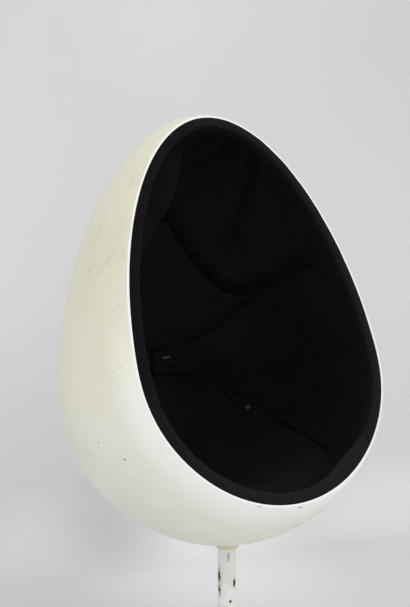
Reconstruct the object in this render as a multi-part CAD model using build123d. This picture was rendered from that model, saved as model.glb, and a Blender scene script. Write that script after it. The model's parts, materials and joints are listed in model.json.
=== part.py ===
from build123d import *
import math
import os

os.makedirs("parts", exist_ok=True)

# ------------------------------------------------------------------ driving dimensions
# Millimetres and degrees. Origin: centre of the base on the floor, on the post's axis.
# +Z is up and the opening faces -Y.

# Egg shell: a body of revolution about an axis that leans back.
EGG_RADIUS = 425.0           # at the widest section
EGG_BELOW = 408.0            # from the widest section to the lower tip, along the axis
EGG_ABOVE = 721.0            # from the widest section to the upper tip
FULLNESS_BELOW = 1.87        # exponents of the outline of the two ends; 2 is an ellipse
FULLNESS_ABOVE = 1.65
EGG_LEAN = 10.4              # axis leans back
EGG_SETBACK = 30.0           # centre of the widest section, behind the post's axis
SHELL_WALL = 5.0
OPENING_TILT = 22.7          # opening plane leans back from upright
OPENING_REACH = 227.0        # opening plane, in front of the widest section's centre

# Upholstery
RIM_BAND_THICKNESS = 27.0    # padded edge, across the shell's wall
RIM_BAND_DEPTH = 60.0        # behind the opening plane
RIM_BAND_PROUD = 5.0         # in front of the opening plane
STRIP_THICKNESS = 6.0        # tacking strip that the padded edge is stapled to
STRIP_WIDTH = 28.0
STRIP_SETBACK = 12.0         # behind the opening plane
STAPLE_ROOM = 1.2            # the strip's staples stand this far into the padded edge
WING_DEPTH = 40.0            # side pads beside the head, along the opening's normal
UPPER_LINING = 28.0          # foam-backed cloth above the cushions
SIDE_PAD = 50.0
BACK_CUSHION = 72.0
SEAT_DEPTH = 115.0           # seat surface above the shell at the lower tip
SEAT_BED_RISE = 76.0         # top of the moulded foam bed above the shell's lowest point
FILLER_REACH = 60.0          # how far the seat's foam bed reaches beyond the mounting board

# Post and swivel
POST_DIAMETER = 48.3
POST_WALL = 3.2
POST_ENGAGEMENT = 3.0        # post top inside the shell's boss
SPINDLE_DIAMETER = 30.0
SPINDLE_TAIL = 8.0           # below the lower bush
LOWER_BUSH_HEIGHT = 125.0    # underside of the lower bush above the base plate
LOWER_BUSH_LENGTH = 30.0
UPPER_BUSH_LENGTH = 40.0
BUSH_FLANGE = 3.0
THRUST_WASHER = 2.0
SHOULDER_DIAMETER = 46.0
SHOULDER_HEIGHT = 5.0
BOSS_DIAMETER = 63.0
BOSS_DROP = 16.0             # boss below the shell's lowest point
LOCK_SCREW_DIAMETER = 8.0
LOCK_SCREW_DROP = 18.0       # below the post's top
LOCK_GROOVE_DEPTH = 3.0

# Base
GROUND_CLEARANCE = 345.0     # shell's lowest point above the floor
BASE_DIAMETER = 560.0
BASE_THICKNESS = 16.0
BASE_EDGE_RADIUS = 5.0
PAD_HEIGHT = 3.0             # rubber disc glued under the base plate
PAD_INSET = 8.0              # from the base plate's edge
COLLAR_DIAMETER = 78.0
COLLAR_HEIGHT = 22.0
COLLAR_CHAMFER = 4.0
PLUG_HEIGHT = 26.0
FOOT_BOLT_DIAMETER = 12.0
FOOT_BOLT_LENGTH = 28.0
FOOT_WASHER_THICKNESS = 2.5
FOOT_RECESS_DEPTH = 10.5     # counterbore for the bolt's head, under the base plate

# Mounting inside the shell
BOARD_DIAMETER = 220.0
BOARD_THICKNESS = 18.0
BOARD_RISE = 34.0            # underside of the board above the shell's lowest point
RESIN_MARGIN = 18.0          # resin bed beyond the board's edge
PLATE_DIAMETER = 180.0
PLATE_THICKNESS = 6.0
MOUNT_BOLT_DIAMETER = 8.0
MOUNT_BOLT_LENGTH = 25.0
MOUNT_BOLT_COUNT = 6
MOUNT_PCD = 140.0
MOUNT_WASHER_DIAMETER = 17.0
MOUNT_WASHER_THICKNESS = 1.6
TEE_FLANGE_DIAMETER = 22.0
TEE_FLANGE_THICKNESS = 1.5
TEE_BARREL_DIAMETER = 10.0
TEE_BARREL_LENGTH = 11.0

# Clearances
RUNNING_CLEARANCE = 0.05     # spindle in its bushes, on the radius
FIT_CLEARANCE = 0.1          # parts that are pressed, screwed or welded in place
SOFT_GAP = 0.3               # upholstery from what it rests on, and from its neighbours
MOVING_GAP = 0.3             # faces that turn past each other
SHROUD_CLEARANCE = 1.2       # boss around the post, on the radius

# ------------------------------------------------------------------ worked out
LEAN = math.radians(EGG_LEAN)
TILT = math.radians(OPENING_TILT)
PROFILE_STEPS = 9            # points in each quarter of the egg's outline
REACH = 4 * EGG_ABOVE        # a length that is larger than the whole chair
OPENING_NORMAL = Vector(0, -math.cos(TILT), math.sin(TILT))


def outline_point(angle, radius, below, above):
    """Radius and height on the egg's outline, for an angle from -90 degrees to 90 degrees."""
    share = math.sin(math.radians(angle))
    fullness, length = (FULLNESS_BELOW, below) if share < 0 else (FULLNESS_ABOVE, above)
    return radius * math.sqrt(max(0.0, 1 - abs(share) ** fullness)), length * share


LOWEST = min(
    z * math.cos(LEAN) - r * math.sin(LEAN)
    for r, z in (outline_point(a / 4, EGG_RADIUS, EGG_BELOW, EGG_ABOVE) for a in range(-360, 1))
)
SHELL_BOTTOM = GROUND_CLEARANCE
EGG_CENTRE = Vector(0, EGG_SETBACK, SHELL_BOTTOM - LOWEST)

BASE_BOTTOM = PAD_HEIGHT
BASE_TOP = BASE_BOTTOM + BASE_THICKNESS
POST_RADIUS = POST_DIAMETER / 2
BORE_RADIUS = POST_RADIUS - POST_WALL
SPINDLE_RADIUS = SPINDLE_DIAMETER / 2
BOSS_BOTTOM = SHELL_BOTTOM - BOSS_DROP
POST_TOP = BOSS_BOTTOM + POST_ENGAGEMENT
FLANGE_TOP = POST_TOP + BUSH_FLANGE
WASHER_TOP = FLANGE_TOP + THRUST_WASHER
SHOULDER_BOTTOM = WASHER_TOP + MOVING_GAP
SHOULDER_TOP = SHOULDER_BOTTOM + SHOULDER_HEIGHT
LOWER_BUSH_BOTTOM = BASE_TOP + LOWER_BUSH_HEIGHT
LOCK_SCREW_HEIGHT = POST_TOP - LOCK_SCREW_DROP
BOARD_BOTTOM = SHELL_BOTTOM + BOARD_RISE
BOARD_TOP = BOARD_BOTTOM + BOARD_THICKNESS
PLATE_TOP = BOARD_TOP + PLATE_THICKNESS
MOUNT_HEAD_BOTTOM = PLATE_TOP + MOUNT_WASHER_THICKNESS
BED_TOP = SHELL_BOTTOM + SEAT_BED_RISE
RESIN_RADIUS = BOARD_DIAMETER / 2 + RESIN_MARGIN
LINING_FRONT = OPENING_REACH - RIM_BAND_DEPTH - SOFT_GAP
BAND_INSET = SHELL_WALL + SOFT_GAP


# ------------------------------------------------------------------ shape helpers
def egg(inset, tip_inset=None):
    """The egg's solid, set in from the outer skin; the lower tip may be set in further."""
    tip_inset = inset if tip_inset is None else tip_inset
    radius = EGG_RADIUS - inset
    below = EGG_BELOW - tip_inset
    above = EGG_ABOVE - inset
    angles = [90 * step / PROFILE_STEPS for step in range(-PROFILE_STEPS, PROFILE_STEPS + 1)]
    outline = [outline_point(angle, radius, below, above) for angle in angles]
    tips = [(0, -1, 0), (0, 1, 0)]
    curve = Spline(*[(0, -r, z) for r, z in outline], tangents=tips, tangent_scalars=(1, 1))
    halves = [curve.trim(0, 0.5), curve.trim(0.5, 1)]
    axis_line = Line(curve @ 1, curve @ 0)
    body = revolve(make_face([*halves, axis_line]), Axis.Z)
    return Pos(EGG_CENTRE) * Rot(-EGG_LEAN, 0, 0) * body


def opening_plane(reach):
    """Plane parallel to the opening, a distance in front of the egg's centre."""
    return Plane(EGG_CENTRE + OPENING_NORMAL * reach, x_dir=(1, 0, 0), z_dir=OPENING_NORMAL)


def in_front_of(reach):
    return opening_plane(reach) * Box(REACH, REACH, REACH, align=(Align.CENTER, Align.CENTER, Align.MIN))


def between(shape, rear, front):
    """The part of a shape that lies between two planes parallel to the opening."""
    return (shape - in_front_of(front)) & in_front_of(rear)


def disc(diameter, bottom, height):
    return Pos(0, 0, bottom) * Cylinder(diameter / 2, height, align=(Align.CENTER, Align.CENTER, Align.MIN))


def tube(outer, inner, bottom, height):
    return disc(outer, bottom, height) - disc(inner, bottom, height)


def hex_prism(across_flats, bottom, height):
    return Pos(0, 0, bottom) * extrude(RegularPolygon(across_flats / 2, 6, major_radius=False), height)


def ring_of(shape, count, diameter):
    """Copies of a shape on a circle about the post's axis, as separate solids."""
    turns = [index * 360 / count for index in range(count)]
    return Compound(children=[Rot(0, 0, turn) * Pos(diameter / 2, 0, 0) * shape for turn in turns])


def save(shape, node):
    shape.label = node
    export_step(shape, f"parts/{node}.step")


# ------------------------------------------------------------------ seams of the upholstery
# Seams are drawn on the egg's side view (back from the centre, up) or front view (across, up),
# as shares of the egg's own radius and heights, and cut straight through.
def side_point(back, up):
    height = up * (EGG_ABOVE if up > 0 else EGG_BELOW)
    return (0, EGG_CENTRE.Y + back * EGG_RADIUS, EGG_CENTRE.Z + height)


def front_point(across, up):
    height = up * (EGG_ABOVE if up > 0 else EGG_BELOW)
    return (across * EGG_RADIUS, 0, EGG_CENTRE.Z + height)


def below_side_seam(points, lift):
    """Everything below a seam that is drawn on the side view."""
    curve = Spline(*[side_point(back, up) for back, up in points])
    start, end = curve @ 0, curve @ 1
    floor_line = Polyline(end, (0, end.Y, 0), (0, start.Y, 0), start)
    half = extrude(make_face([curve, floor_line]), REACH / 2, dir=(1, 0, 0), both=True)
    return Pos(0, 0, lift) * half


def seat_seam(lift):
    return below_side_seam([(-1.2, -0.60), (-0.3, -0.49), (0.35, -0.38), (0.70, -0.19), (1.15, 0.05)], lift)


def back_seam(lift):
    points = [(-1.2, 0.45), (-0.2, 0.46), (0.25, 0.39), (0.62, 0.25), (0.86, 0.08), (1.15, -0.10)]
    return below_side_seam(points, lift)


def cushion_tongue(margin):
    """Front view of the back cushion: a peak in the middle that falls to a corner each side."""
    right = [(0.13, 0.517), (0.24, 0.436), (0.35, 0.358), (0.45, 0.298), (0.57, 0.28), (0.69, 0.316)]
    left = [(-across, up) for across, up in reversed(right)]
    crest = Spline(*[front_point(across, up) for across, up in left + [(0, 0.60)] + right])
    start, end = crest @ 0, crest @ 1
    foot = Polyline(end, (end.X, 0, 0), (start.X, 0, 0), start)
    tongue = extrude(make_face([crest, foot]), REACH / 2, dir=(0, 1, 0), both=True)
    return Pos(0, 0, margin) * tongue


def centre_gore(margin):
    """Front view of the middle panel of the upper lining."""
    right = [(0.41, -0.2), (0.43, 0.39), (0.47, 0.54), (0.445, 0.71), (0.33, 0.87), (0.17, 1.05)]
    right_edge = [front_point(across, up) for across, up in right]
    shifted = [(x + margin, y, z) for x, y, z in right_edge]
    mirrored = [(-x, y, z) for x, y, z in reversed(shifted)]
    outline = [Spline(*shifted), Line(shifted[-1], mirrored[0]), Spline(*mirrored)]
    outline.append(Line(mirrored[-1], shifted[0]))
    return extrude(make_face(outline), REACH / 2, dir=(0, 1, 0), both=True)


def wing_window():
    """Opening between the two side pads, drawn on the opening plane (across, up the slope)."""
    right = [(0.16, 0.93), (0.18, 0.845), (0.265, 0.72), (0.38, 0.61), (0.47, 0.537), (0.70, 0.36)]
    slope = [(across * EGG_RADIUS, up * EGG_ABOVE) for across, up in right]
    side = Spline(*slope)
    other_side = Spline(*[(-x, y) for x, y in slope])
    low = slope[-1][1]
    ledge = [(EGG_RADIUS, low), (EGG_RADIUS, -REACH), (-EGG_RADIUS, -REACH), (-EGG_RADIUS, low)]
    outline = [
        side,
        other_side,
        Polyline(side @ 0, (0, REACH), other_side @ 0),
        Polyline(side @ 1, *ledge, other_side @ 1),
    ]
    return opening_plane(0) * extrude(make_face(outline), REACH / 2)


# ------------------------------------------------------------------ base and post
def base_plate():
    plate = disc(BASE_DIAMETER, BASE_BOTTOM, BASE_THICKNESS)
    plate = fillet(plate.edges().group_by(Axis.Z)[-1], BASE_EDGE_RADIUS)
    plate -= disc(FOOT_BOLT_DIAMETER + 2 * FIT_CLEARANCE, BASE_BOTTOM, BASE_THICKNESS)
    return plate - disc(foot_washer_diameter() + 2, BASE_BOTTOM, FOOT_RECESS_DEPTH)


def foot_washer_diameter():
    return 2 * FOOT_BOLT_DIAMETER


def base_pad():
    """Rubber disc under the whole base plate, closing the recess for the foot bolt."""
    pad = disc(BASE_DIAMETER - 2 * PAD_INSET, 0, PAD_HEIGHT)
    return chamfer(pad.edges().group_by(Axis.Z)[0], PAD_HEIGHT / 4)


def foot_collar():
    collar = tube(COLLAR_DIAMETER, POST_DIAMETER + 2 * FIT_CLEARANCE, BASE_TOP, COLLAR_HEIGHT)
    top_edges = collar.edges().group_by(Axis.Z)[-1].sort_by(SortBy.RADIUS)
    return chamfer(top_edges[-1], COLLAR_CHAMFER)


def lock_screw_hole(clearance):
    """Radial bore at the back of the post, out to well past its wall."""
    bore = Cylinder(LOCK_SCREW_DIAMETER / 2 + clearance, POST_DIAMETER,
                    align=(Align.CENTER, Align.CENTER, Align.MIN))
    return Pos(0, 0, LOCK_SCREW_HEIGHT) * Rot(-90, 0, 0) * bore


def post_tube():
    pipe = tube(POST_DIAMETER, 2 * BORE_RADIUS, BASE_TOP, POST_TOP - BASE_TOP)
    return pipe - lock_screw_hole(FIT_CLEARANCE)


def post_foot_plug():
    plug = disc(2 * (BORE_RADIUS - FIT_CLEARANCE), BASE_TOP, PLUG_HEIGHT)
    return plug - disc(FOOT_BOLT_DIAMETER + 2 * FIT_CLEARANCE, BASE_TOP, PLUG_HEIGHT)


def foot_washer():
    bottom = BASE_BOTTOM + FOOT_RECESS_DEPTH - FOOT_WASHER_THICKNESS
    return tube(foot_washer_diameter(), FOOT_BOLT_DIAMETER + 2 * FIT_CLEARANCE, bottom, FOOT_WASHER_THICKNESS)


def foot_bolt():
    head_top = BASE_BOTTOM + FOOT_RECESS_DEPTH - FOOT_WASHER_THICKNESS
    head_height = 0.625 * FOOT_BOLT_DIAMETER
    head = hex_prism(1.5 * FOOT_BOLT_DIAMETER, head_top - head_height, head_height)
    return head + disc(FOOT_BOLT_DIAMETER, head_top, FOOT_BOLT_LENGTH)


def bush_bore():
    return SPINDLE_DIAMETER + 2 * RUNNING_CLEARANCE


def lower_bush():
    return tube(2 * (BORE_RADIUS - FIT_CLEARANCE), bush_bore(), LOWER_BUSH_BOTTOM, LOWER_BUSH_LENGTH)


def upper_bush():
    barrel = disc(2 * (BORE_RADIUS - FIT_CLEARANCE), POST_TOP - UPPER_BUSH_LENGTH, UPPER_BUSH_LENGTH)
    flange = disc(POST_DIAMETER, POST_TOP, BUSH_FLANGE)
    bush = barrel + flange
    bush -= disc(bush_bore(), POST_TOP - UPPER_BUSH_LENGTH, UPPER_BUSH_LENGTH + BUSH_FLANGE)
    return bush - lock_screw_hole(FIT_CLEARANCE)


def thrust_washer():
    return tube(SHOULDER_DIAMETER, SPINDLE_DIAMETER + 4 * MOVING_GAP, FLANGE_TOP, THRUST_WASHER)


def lock_screw():
    """Socket set screw whose nose stands in the spindle's groove and keeps it from lifting out."""
    nose = SPINDLE_RADIUS - LOCK_GROOVE_DEPTH + MOVING_GAP
    length = POST_RADIUS - nose
    screw = Cylinder(LOCK_SCREW_DIAMETER / 2, length, align=(Align.CENTER, Align.CENTER, Align.MIN))
    screw = chamfer(screw.edges().group_by(Axis.Z)[0], LOCK_SCREW_DIAMETER / 8)
    socket = extrude(RegularPolygon(LOCK_SCREW_DIAMETER / 4, 6, major_radius=False), length / 3)
    screw -= Pos(0, 0, length - length / 3) * socket
    return Pos(0, nose, LOCK_SCREW_HEIGHT) * Rot(-90, 0, 0) * screw


# ------------------------------------------------------------------ swivel and mounting
def swivel_spindle():
    bottom = LOWER_BUSH_BOTTOM - SPINDLE_TAIL
    spindle = disc(SPINDLE_DIAMETER, bottom, PLATE_TOP - bottom)
    spindle = chamfer(spindle.edges().group_by(Axis.Z)[0], SPINDLE_DIAMETER / 20)
    spindle += disc(SHOULDER_DIAMETER, SHOULDER_BOTTOM, SHOULDER_HEIGHT)
    groove_width = LOCK_SCREW_DIAMETER + 2 * MOVING_GAP
    groove = tube(SPINDLE_DIAMETER + 2, SPINDLE_DIAMETER - 2 * LOCK_GROOVE_DEPTH,
                  LOCK_SCREW_HEIGHT - groove_width / 2, groove_width)
    return spindle - groove


def spindle_hole(bottom, top):
    return disc(SPINDLE_DIAMETER + 2 * FIT_CLEARANCE, bottom, top - bottom)


def shell_boss(outer_egg):
    boss = disc(BOSS_DIAMETER, BOSS_BOTTOM, BOARD_BOTTOM - BOSS_BOTTOM)
    boss -= outer_egg
    boss = boss.solids().sort_by(Axis.Z)[0]
    boss -= disc(POST_DIAMETER + 2 * SHROUD_CLEARANCE, BOSS_BOTTOM, SHOULDER_TOP + FIT_CLEARANCE - BOSS_BOTTOM)
    return boss - spindle_hole(BOSS_BOTTOM, BOARD_BOTTOM)


def shell(outer_egg, inner_egg):
    skin = outer_egg - inner_egg - in_front_of(OPENING_REACH)
    return skin - spindle_hole(BOSS_BOTTOM, BOARD_BOTTOM)


def resin_bed():
    """Bedding that brings the shell's curved bottom up to the flat underside of the board."""
    bed = egg(SHELL_WALL + FIT_CLEARANCE) & disc(2 * RESIN_RADIUS, BOSS_BOTTOM, BOARD_BOTTOM - BOSS_BOTTOM)
    return bed - spindle_hole(BOSS_BOTTOM, BOARD_BOTTOM)


def mounting_board():
    board = disc(BOARD_DIAMETER, BOARD_BOTTOM, BOARD_THICKNESS)
    board -= spindle_hole(BOARD_BOTTOM, BOARD_TOP)
    for diameter, depth in ((TEE_FLANGE_DIAMETER, TEE_FLANGE_THICKNESS), (TEE_BARREL_DIAMETER, BOARD_THICKNESS)):
        board -= ring_of(disc(diameter + 2 * FIT_CLEARANCE, BOARD_BOTTOM, depth), MOUNT_BOLT_COUNT, MOUNT_PCD)
    return board


def mount_bolt_hole_diameter():
    return 1.125 * MOUNT_BOLT_DIAMETER


def mount_plate():
    plate = disc(PLATE_DIAMETER, BOARD_TOP, PLATE_THICKNESS) - spindle_hole(BOARD_TOP, PLATE_TOP)
    hole = disc(mount_bolt_hole_diameter(), BOARD_TOP, PLATE_THICKNESS)
    return plate - ring_of(hole, MOUNT_BOLT_COUNT, MOUNT_PCD)


def mount_washers():
    washer = tube(MOUNT_WASHER_DIAMETER, mount_bolt_hole_diameter(), PLATE_TOP, MOUNT_WASHER_THICKNESS)
    return ring_of(washer, MOUNT_BOLT_COUNT, MOUNT_PCD)


def mount_bolts():
    head_height = 0.66 * MOUNT_BOLT_DIAMETER
    head = hex_prism(1.625 * MOUNT_BOLT_DIAMETER, MOUNT_HEAD_BOTTOM, head_height)
    shank = disc(MOUNT_BOLT_DIAMETER, MOUNT_HEAD_BOTTOM - MOUNT_BOLT_LENGTH, MOUNT_BOLT_LENGTH)
    return ring_of(head + shank, MOUNT_BOLT_COUNT, MOUNT_PCD)


def tee_nuts():
    flange = disc(TEE_FLANGE_DIAMETER, BOARD_BOTTOM, TEE_FLANGE_THICKNESS)
    nut = flange + disc(TEE_BARREL_DIAMETER, BOARD_BOTTOM, TEE_BARREL_LENGTH)
    nut -= disc(MOUNT_BOLT_DIAMETER + 2 * FIT_CLEARANCE, BOARD_BOTTOM, TEE_BARREL_LENGTH)
    return ring_of(nut, MOUNT_BOLT_COUNT, MOUNT_PCD)


# ------------------------------------------------------------------ rim
def strip_ring(outer_inset, inner_inset, margin):
    front = OPENING_REACH - STRIP_SETBACK + margin
    rear = front - STRIP_WIDTH - 2 * margin
    return between(egg(outer_inset), rear, front) - egg(inner_inset)


def tack_strip():
    return strip_ring(SHELL_WALL + FIT_CLEARANCE, SHELL_WALL + STRIP_THICKNESS, 0)


def rim_band():
    """Foam roll that hides the shell's inner edge, hollowed behind for the tacking strip."""
    ring = between(egg(BAND_INSET), OPENING_REACH - RIM_BAND_DEPTH, OPENING_REACH + RIM_BAND_PROUD)
    ring -= egg(BAND_INSET + RIM_BAND_THICKNESS)
    rebate = strip_ring(SHELL_WALL, SHELL_WALL + STRIP_THICKNESS + STAPLE_ROOM, SOFT_GAP)
    return ring - rebate


# ------------------------------------------------------------------ lining and cushions
def lining_layer(thickness, tip_thickness=None):
    """Everything between the shell's inside and a surface set in from it, behind the rim band."""
    inset = SHELL_WALL + thickness
    tip_inset = None if tip_thickness is None else SHELL_WALL + tip_thickness
    return egg(BAND_INSET) - egg(inset, tip_inset) - in_front_of(LINING_FRONT)


def right_side(margin):
    """Half-space on the +X side of the middle plane."""
    return Pos(margin, 0, 0) * Box(REACH, REACH, 2 * REACH, align=(Align.MIN, Align.CENTER, Align.CENTER))


def main_solid(shape):
    return shape.solids().sort_by(SortBy.VOLUME)[-1]


def seat_bed():
    """Moulded foam that fills the shell's bottom round the mounting and gives the seat its level."""
    recess_top = MOUNT_HEAD_BOTTOM + MOUNT_BOLT_DIAMETER + 2 * SOFT_GAP
    radius = RESIN_RADIUS + FILLER_REACH
    bed = egg(BAND_INSET) & disc(2 * radius, BOSS_BOTTOM, BED_TOP - BOSS_BOTTOM)
    recess = disc(2 * (RESIN_RADIUS + SOFT_GAP), BOSS_BOTTOM, recess_top - BOSS_BOTTOM)
    return bed - recess


def seat_cushion(bed_room):
    cushion = lining_layer(SIDE_PAD, SEAT_DEPTH) & seat_seam(-SOFT_GAP)
    return main_solid(cushion - bed_room)


def side_pads():
    pads = (lining_layer(SIDE_PAD) & back_seam(-SOFT_GAP)) - seat_seam(SOFT_GAP)
    return main_solid(pads & right_side(SOFT_GAP))


def back_cushion():
    cushion = (lining_layer(BACK_CUSHION) & cushion_tongue(-SOFT_GAP)) - back_seam(SOFT_GAP)
    return main_solid(cushion - in_front_of(0))


def upper_layer():
    behind_cushion = cushion_tongue(SOFT_GAP) - in_front_of(0)
    return lining_layer(UPPER_LINING) - back_seam(SOFT_GAP) - behind_cushion


def wing_pad():
    """Side pad beside the head, between the rim band and the window."""
    inside_band = egg(BAND_INSET + RIM_BAND_THICKNESS + SOFT_GAP)
    front = OPENING_REACH - (RIM_BAND_DEPTH - WING_DEPTH)
    pad = between(inside_band, LINING_FRONT + SOFT_GAP, front) - wing_window()
    return main_solid(pad & right_side(SOFT_GAP))


def mirrored(shape):
    return mirror(shape, about=Plane.YZ)


# ------------------------------------------------------------------ build
def build_base():
    for make in (base_plate, base_pad, foot_collar, post_tube, post_foot_plug, foot_washer, foot_bolt,
                 lower_bush, upper_bush, thrust_washer, lock_screw):
        save(make(), make.__name__)


def build_mounting(outer_egg):
    save(shell_boss(outer_egg), "shell_boss")
    for make in (swivel_spindle, resin_bed, mounting_board, mount_plate, mount_washers, mount_bolts, tee_nuts):
        save(make(), make.__name__)


def build_upholstery():
    save(tack_strip(), "tack_strip")
    save(rim_band(), "rim_band")
    save(seat_bed(), "seat_bed")
    bed_room = disc(2 * (RESIN_RADIUS + FILLER_REACH + SOFT_GAP), BOSS_BOTTOM, BED_TOP + SOFT_GAP - BOSS_BOTTOM)
    save(seat_cushion(bed_room), "seat_cushion")
    save(back_cushion(), "back_cushion")
    upper = upper_layer()
    save(main_solid(upper & centre_gore(-SOFT_GAP)), "upper_back_panel")
    gore = main_solid((upper - centre_gore(SOFT_GAP)) & right_side(SOFT_GAP))
    for right_part, name in ((side_pads(), "side_pad"), (gore, "upper_side_panel"), (wing_pad(), "wing_pad")):
        save(right_part, f"{name}_right")
        save(mirrored(right_part), f"{name}_left")


def main():
    outer_egg = egg(0)
    build_base()
    save(shell(outer_egg, egg(SHELL_WALL)), "shell")
    build_mounting(outer_egg)
    build_upholstery()


main()
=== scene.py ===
import json
import math

import bpy
import numpy as np
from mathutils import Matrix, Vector
from mathutils.bvhtree import BVHTree


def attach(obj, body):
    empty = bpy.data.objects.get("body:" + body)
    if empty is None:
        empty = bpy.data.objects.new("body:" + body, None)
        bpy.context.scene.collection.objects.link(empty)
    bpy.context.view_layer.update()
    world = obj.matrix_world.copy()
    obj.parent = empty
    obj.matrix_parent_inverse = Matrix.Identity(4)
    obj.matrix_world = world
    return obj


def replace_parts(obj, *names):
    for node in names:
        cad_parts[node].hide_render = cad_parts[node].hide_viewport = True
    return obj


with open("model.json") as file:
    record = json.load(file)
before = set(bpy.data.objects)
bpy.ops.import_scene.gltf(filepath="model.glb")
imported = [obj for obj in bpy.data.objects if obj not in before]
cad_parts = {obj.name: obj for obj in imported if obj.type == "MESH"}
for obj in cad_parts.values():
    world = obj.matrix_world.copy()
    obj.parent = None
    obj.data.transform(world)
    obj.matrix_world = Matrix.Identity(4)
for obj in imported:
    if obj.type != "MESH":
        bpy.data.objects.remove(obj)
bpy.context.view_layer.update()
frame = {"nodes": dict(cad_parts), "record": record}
nodes = frame["nodes"]
scene = bpy.context.scene

# ------------------------ the egg, in metres
EGG_RADIUS = 0.425
EGG_BELOW = 0.408
EGG_ABOVE = 0.721
FULLNESS_BELOW = 1.87
FULLNESS_ABOVE = 1.65
LEAN = math.radians(10.4)
TILT = math.radians(22.7)
EGG_CENTRE = np.array((0.0, 0.030, 0.753104))
ACROSS = np.array((1.0, 0.0, 0.0))
OUTWARD = np.array((0.0, -math.cos(TILT), math.sin(TILT)))    # normal of the opening
UPSLOPE = np.array((0.0, math.sin(TILT), math.cos(TILT)))
SECTION_LIFT = 0.18          # middle of the opening, up its slope from the egg's centre

# A reach is a distance out of the egg's centre along OUTWARD; an inset is a distance inside
# the egg's outer skin.
BAND_INSET = 0.0053          # shell wall and a small gap
BAND_THICKNESS = 0.027
BAND_REAR = 0.167            # reach of the rim roll's rear and front
BAND_FRONT = 0.232
REAR_REACH = -0.31           # behind this the planes of the opening graze the egg's back
INSET_RANGE = (-0.05, 0.39)
BEYOND_EGG = 1.2             # a way that leaves the egg from anywhere inside it
BISECTIONS = 40


def egg_value(points, inset):
    """Below 0 inside the egg that is set in by inset from the outer skin, above 0 outside it."""
    q = points - EGG_CENTRE
    y = q[:, 1] * math.cos(LEAN) - q[:, 2] * math.sin(LEAN)
    z = q[:, 1] * math.sin(LEAN) + q[:, 2] * math.cos(LEAN)
    upper = z > 0
    length = np.where(upper, EGG_ABOVE, EGG_BELOW) - inset
    fullness = np.where(upper, FULLNESS_ABOVE, FULLNESS_BELOW)
    return (q[:, 0] ** 2 + y ** 2) / (EGG_RADIUS - inset) ** 2 + (np.abs(z) / length) ** fullness - 1


def bisect(low, high, is_above):
    """For each entry, the value between low and high at which is_above turns from false to true."""
    for _ in range(BISECTIONS):
        middle = (low + high) / 2
        above = is_above(middle)
        high = np.where(above, middle, high)
        low = np.where(above, low, middle)
    return (low + high) / 2


def inset_of(points):
    """How far each point lies inside the egg's outer skin."""
    low, high = INSET_RANGE
    count = len(points)
    return bisect(np.full(count, low), np.full(count, high),
                  lambda inset: egg_value(points, inset) > 0)


def reach_of(points):
    """How far each point lies out of the egg's centre, towards the opening."""
    return (points - EGG_CENTRE) @ OUTWARD


def ring_points(angles, insets, reaches):
    """Points on planes parallel to the opening, at an angle round its middle and an inset."""
    ray = np.cos(angles)[:, None] * ACROSS + np.sin(angles)[:, None] * UPSLOPE
    start = EGG_CENTRE + reaches[:, None] * OUTWARD + SECTION_LIFT * UPSLOPE
    far = bisect(np.zeros(len(angles)), np.full(len(angles), BEYOND_EGG),
                 lambda out: egg_value(start + ray * out[:, None], insets) > 0)
    return start + ray * far[:, None]


def with_inset(points, insets, moved):
    """Slides the moved points straight in or out of the wall to other insets, in their own plane."""
    q = points[moved] - EGG_CENTRE
    angles = np.arctan2(q @ UPSLOPE - SECTION_LIFT, q[:, 0])
    out = points.copy()
    out[moved] = ring_points(angles, insets[moved], q @ OUTWARD)
    return out


# ------------------------ shader helpers
def linear(red, green, blue):
    """Scene-linear colour of an 8-bit screen colour."""
    return tuple(c / 255 / 12.92 if c <= 10 else ((c / 255 + 0.055) / 1.055) ** 2.4
                 for c in (red, green, blue))


def tones(**colours):
    return {tone: linear(*colour) for tone, colour in colours.items()}


EVEN = (1.0, 1.0, 1.0)


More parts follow.
